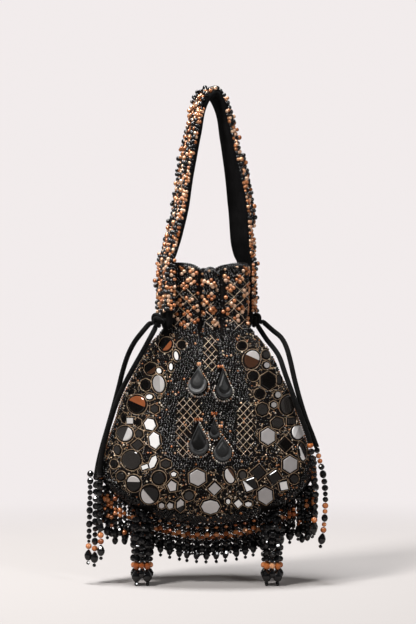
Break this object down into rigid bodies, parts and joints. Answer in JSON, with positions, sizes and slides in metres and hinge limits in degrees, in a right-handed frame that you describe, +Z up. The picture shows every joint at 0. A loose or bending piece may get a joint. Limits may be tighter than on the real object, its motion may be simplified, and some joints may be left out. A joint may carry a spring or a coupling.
{
  "type": "potli bag",
  "caption": "Gathered drawstring pouch with mirror and bead work outside, a velvet lining, a beaded hand strap, a bead fringe and bead tassels.",
  "frame": {"origin": "under the middle of the pouch, level with the lowest tassel bead", "axes": "+Z up, the front faces -Y, +X to the right as seen from the front"},
  "size_m": [0.218, 0.0964, 0.4484],
  "materials": {
    "black_velvet": "short velvet pile",
    "beaded_mirror_work": "glass seed beads, gold thread and mirror pieces",
    "black_glass_beads": "polished black glass",
    "copper_pearls": "pearly copper and black beads",
    "black_suede": "suede",
    "dark_glass_stone": "polished dark glass"
  },
  "bodies": {
    "strap": {"strap_band": "black_velvet", "strap_bead_strand_1": "copper_pearls", "strap_bead_strand_2": "copper_pearls", "strap_bead_strand_3": "copper_pearls", "strap_bead_strand_4": "copper_pearls"},
    "pouch": {"fringe": "black_glass_beads", "left_cord_strand_1": "black_glass_beads", "left_cord_strand_2": "black_glass_beads", "left_cord_strand_3": "black_glass_beads", "left_knot": "black_velvet", "left_neck_cord": "black_velvet", "left_tail_inner": "black_velvet", "left_tail_outer": "black_velvet", "lining": "black_velvet", "mini_pocket": "black_suede", "outer_shell": "beaded_mirror_work", "right_cord_strand_1": "black_glass_beads", "right_cord_strand_2": "black_glass_beads", "right_knot": "black_velvet", "right_neck_cord": "black_velvet", "right_tail_inner": "black_velvet", "right_tail_outer": "black_velvet", "teardrop_stone_lower_left": "dark_glass_stone", "teardrop_stone_lower_middle": "dark_glass_stone", "teardrop_stone_lower_right": "dark_glass_stone", "teardrop_stone_upper_left": "dark_glass_stone", "teardrop_stone_upper_right": "dark_glass_stone"},
    "left_foot_tassel": {"left_foot_cap": "black_glass_beads", "left_foot_strand_1": "black_glass_beads", "left_foot_strand_2": "black_glass_beads", "left_foot_strand_3": "black_glass_beads", "left_foot_strand_4": "black_glass_beads"},
    "right_foot_tassel": {"right_foot_cap": "black_glass_beads", "right_foot_strand_1": "black_glass_beads", "right_foot_strand_2": "black_glass_beads", "right_foot_strand_3": "black_glass_beads", "right_foot_strand_4": "black_glass_beads"}
  },
  "joints": [
    {"name": "strap_swing", "type": "hinge", "parent": "strap", "child": "pouch", "pos_m": [0, 0, 0.23654], "axis": [0.8829, 0.4695, 0], "range_deg": [-70, 70]},
    {"name": "left_tassel_swing", "type": "hinge", "parent": "pouch", "child": "left_foot_tassel", "pos_m": [-0.058, -0.0135, 0.0685], "axis": [1, 0, 0], "range_deg": [-45, 0]},
    {"name": "right_tassel_swing", "type": "hinge", "parent": "pouch", "child": "right_foot_tassel", "pos_m": [0.058, -0.0135, 0.0685], "axis": [1, 0, 0], "range_deg": [-45, 0]}
  ]
}
